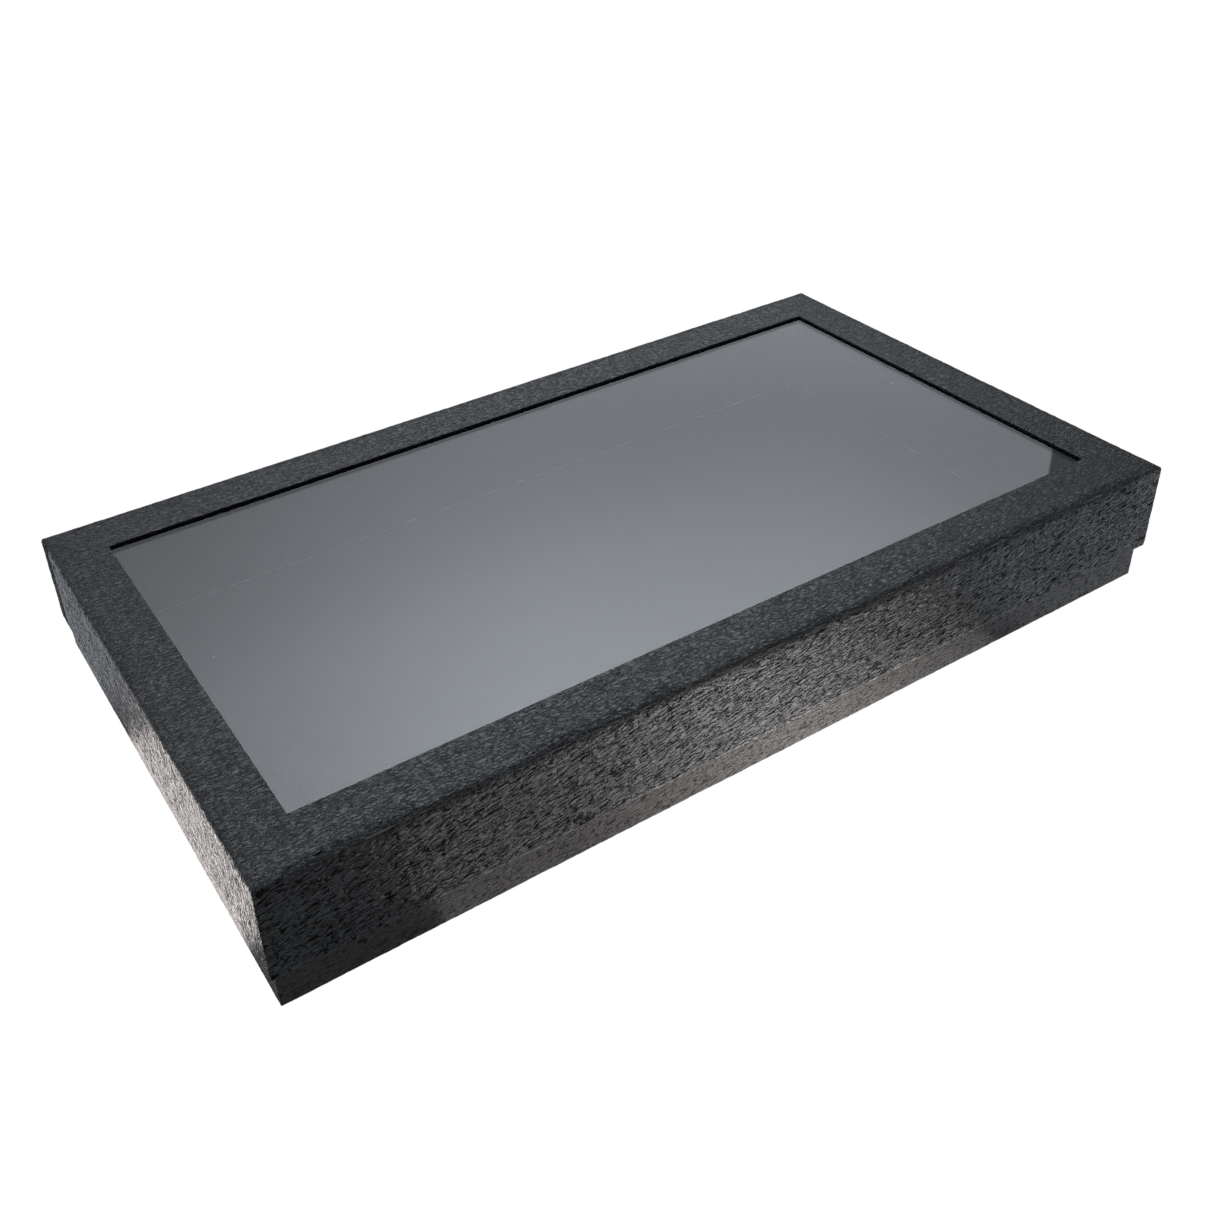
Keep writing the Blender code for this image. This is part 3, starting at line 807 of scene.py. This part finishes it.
# Floor, light and camera
def make_floor():
    """A floor that looks white, and that lights the case as a dim floor with soft bright pools."""
    mesh = bpy.data.meshes.new("studio_floor")
    ends = ((-1, -1), (1, -1), (1, 1), (-1, 1))
    mesh.from_pydata([(x * FLOOR_SIZE, y * FLOOR_SIZE, FLOOR_LEVEL) for x, y in ends], [], [(0, 1, 2, 3)])
    floor = add_object("studio_floor", mesh)
    material = bpy.data.materials.new("pale_floor")
    material.use_nodes = True
    tree = material.node_tree
    tree.nodes.clear()
    axes = put(tree, "SeparateXYZ", None, {0: put(tree, "TexCoord").outputs["Object"]})
    x, y = axes.outputs[0], axes.outputs[1]

    def span(value, low, high, blur):
        rise = mapped(tree, value, low - blur, low + blur, 0.0, 1.0)
        fall = mapped(tree, value, high - blur, high + blur, 1.0, 0.0)
        return product(tree, rise, fall)

    def pools(places):
        return [product(tree, span(x, *x_span), span(y, *y_span), glow) for x_span, y_span, glow in places]

    warm = total(tree, *pools(WARM_POOLS))
    cool = total(tree, *pools(COOL_POOLS), FLOOR_GLOW)
    strength = total(tree, warm, cool)
    share = maths(tree, "DIVIDE", cool, strength)
    pinker = mapped(tree, x, -0.17, -0.15, 1.0, 0.0)
    glowing = blended(tree, pinker, (1.0, 0.965, 0.94, 1), (1.0, 0.93, 0.90, 1))
    colour = blended(tree, share, glowing, (0.90, 0.95, 1.03, 1))
    bounce = put(tree, "Emission", None, {"Color": colour, "Strength": strength})
    seen = put(tree, "Emission", None, {"Color": WHITE, "Strength": 1.0})
    camera_ray = put(tree, "LightPath").outputs["Is Camera Ray"]
    both = put(tree, "MixShader", None, {0: camera_ray, 1: bounce.outputs[0], 2: seen.outputs[0]})
    tree.links.new(both.outputs[0], put(tree, "OutputMaterial").inputs["Surface"])
    mesh.materials.append(material)


def make_world():
    """A soft pale room, brightest high up ahead and to the right, with a dark gap past its wall's end."""
    world = bpy.data.worlds.new("soft_room")
    bpy.context.scene.world = world
    world.use_nodes = True
    tree = world.node_tree
    way = put(tree, "TexCoord").outputs["Generated"]
    axes = put(tree, "SeparateXYZ", None, {0: way})
    height = axes.outputs[2]
    azimuth = maths(tree, "ARCTAN2", axes.outputs[0], axes.outputs[1])

    def towards(degrees):
        a = math.radians(degrees)
        inputs = {0: way, 1: (math.sin(a), math.cos(a), 0.0)}
        return put(tree, "VectorMath", {"operation": "DOT_PRODUCT"}, inputs).outputs["Value"]

    def turning(first, last, to_first, to_last):
        return mapped(tree, azimuth, math.radians(first), math.radians(last), to_first, to_last)

    past_edge = mapped(tree, towards(GAP_EDGE + 90), 0.0, 0.003, 0.0, 1.0)
    ahead = mapped(tree, towards(GAP_EDGE), -0.3, 0.1, 0.0, 1.0)
    gap = product(tree, past_edge, ahead)
    above = mapped(tree, height, 0.46, 0.74, 0.97, 3.3)
    low_down = mapped(tree, height, 0.28, 0.42, 0.35, 1.0)
    overhead = mapped(tree, height, 0.80, 1.0, 1.0, 0.45)
    to_left, to_right = turning(6, 33, 0.50, 1.0), turning(42, 56, 1.0, 0.88)
    behind = mapped(tree, towards(ROOM_MIDDLE), -0.15, 0.45, 0.0, 1.0)
    sides = product(tree, to_left, to_right, behind)
    glow = product(tree, above, low_down, overhead, sides, mapped(tree, gap, 0.0, 1.0, 1.0, GAP_GLOW))
    glow = total(tree, glow, ROOM_GLOW)
    seen = put(tree, "LightPath").outputs["Is Camera Ray"]
    background = tree.nodes["Background"]
    feed(tree, background.inputs["Color"], blended(tree, seen, (0.90, 0.955, 1.03, 1), WHITE))
    feed(tree, background.inputs["Strength"], mapped(tree, seen, 0.0, 1.0, glow, 1.0))


def make_camera():
    data = bpy.data.cameras.new("view")
    data.sensor_width = SENSOR
    data.lens = LENS
    data.shift_x, data.shift_y = LENS_SHIFT
    data.clip_start, data.clip_end = 0.01, 20.0
    camera = add_object("view", data)
    ahead = Vector(CAMERA_AHEAD).normalized()
    right = ahead.cross(Vector(CAMERA_UP).normalized()).normalized()
    up = right.cross(ahead)
    turn = Matrix((right, up, -ahead)).transposed().to_4x4()
    camera.matrix_world = Matrix.Translation(Vector(CAMERA_PLACE)) @ turn
    bpy.context.scene.camera = camera


lid_leather = leatherette(
    "lid_leatherette",
    ridge=(0.024, 0.024, 0.025, 1),
    groove=(0.002, 0.002, 0.002, 1),
    rough_ridge=0.24,
    rough_groove=0.58,
    depth=0.22 * MM,
    size=1.06,
    sheen=WHITE,
)
base_leather = leatherette(
    "base_leatherette",
    ridge=(0.022, 0.021, 0.021, 1),
    groove=(0.005, 0.005, 0.005, 1),
    rough_ridge=0.34,
    rough_groove=0.58,
    depth=0.13 * MM,
    size=0.85,
    sheen=(1.0, 0.94, 0.91, 1),
)
for side_name in AXES:
    make_lid_cover(side_name, lid_leather)
    make_base_cover(side_name, base_leather)

# Each card's face, flecks, their share, roughness, fibre scale and relief
black_card = card(
    "black_card", (0.010, 0.010, 0.010, 1), (0.014, 0.014, 0.014, 1), 0.15, 0.85, 400.0, 0.001 * MM, 0.10
)
grey_board = card("grey_board", (0.30, 0.29, 0.27, 1), (0.12, 0.11, 0.10, 1), 0.7, 0.85, 700.0, 0.06 * MM)
kraft_tape = card("stay_paper", (0.42, 0.33, 0.22, 1), (0.25, 0.18, 0.11, 1), 0.5, 0.80, 800.0, 0.03 * MM)
sole_paper = card("sole_paper", (0.030, 0.030, 0.031, 1), (0.10, 0.10, 0.10, 1), 0.5, 0.78, 900.0, 0.04 * MM)
stop_card = card(
    "retainer_board", (0.040, 0.040, 0.041, 1), (0.12, 0.12, 0.11, 1), 0.5, 0.80, 800.0, 0.04 * MM
)
make_lid_board(grey_board)
make_pane(pane_glass("window_glass"))
for node_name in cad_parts:
    if "corner_stay" in node_name:
        dress(node_name, kraft_tape)
    elif "retainer" in node_name:
        dress(node_name, stop_card)
    elif "liner" in node_name:
        dress(node_name, black_card)
dress("base_board", grey_board)
dress("base_bottom_sheet", sole_paper)
make_glue_beads(dried_glue("dried_glue"))

make_floor()
make_world()
make_camera()
bpy.context.scene.view_settings.view_transform = "Standard"
